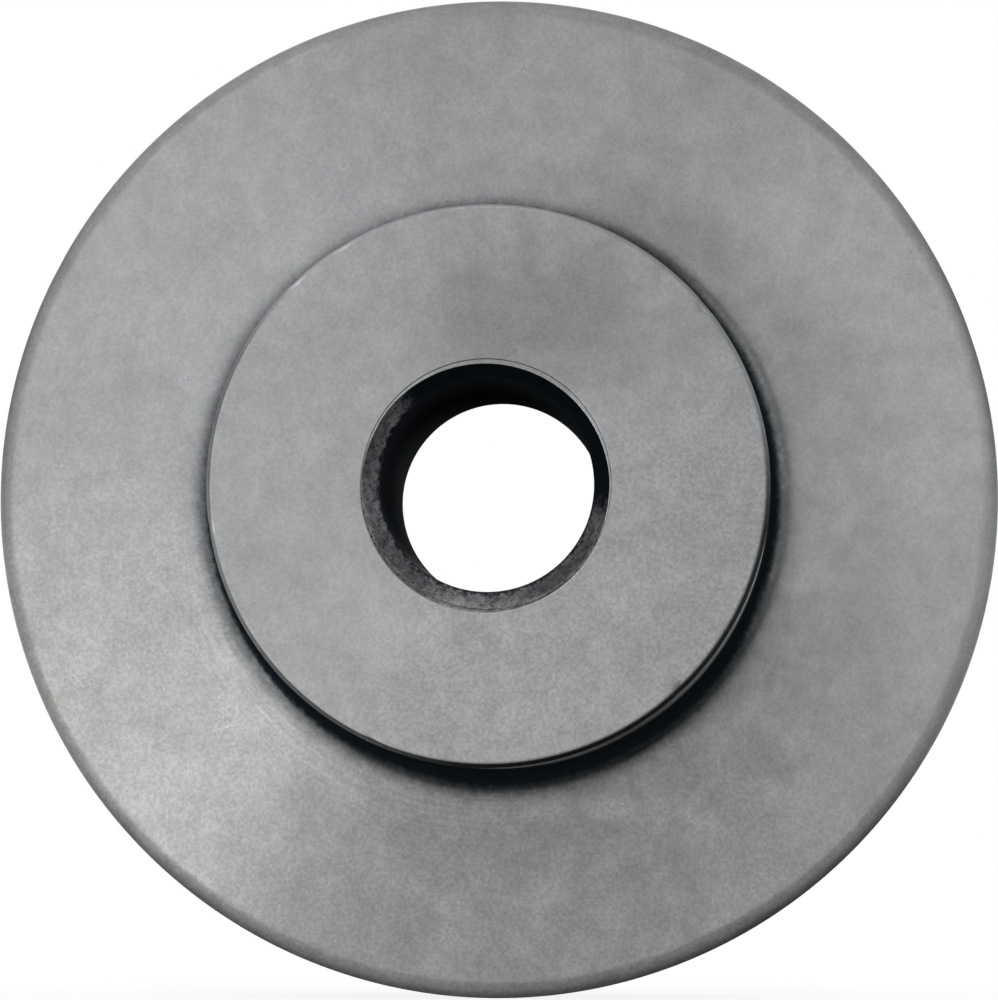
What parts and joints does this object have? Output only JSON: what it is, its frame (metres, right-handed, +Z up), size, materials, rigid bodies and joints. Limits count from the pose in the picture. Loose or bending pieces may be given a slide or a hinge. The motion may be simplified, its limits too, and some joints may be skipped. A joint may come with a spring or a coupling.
{
  "type": "seam roller",
  "caption": "Flanged steel seam roller with a raised cylindrical hub and a plain bush pressed into its bore for an axle.",
  "frame": {"origin": "on the axle's centre line, at the middle of the roller's length", "axes": "+Y along the axle, from the hub's face at -Y to the thrust boss at +Y; +Z up"},
  "size_m": [0.0584, 0.0206, 0.0584],
  "materials": {
    "turned_steel": "turned, then tumbled to a dull satin",
    "bush_metal": "sintered, matt and slightly mottled"
  },
  "bodies": {
    "root": {"roller_body": "turned_steel", "bearing_bush": "bush_metal"}
  },
  "joints": []
}
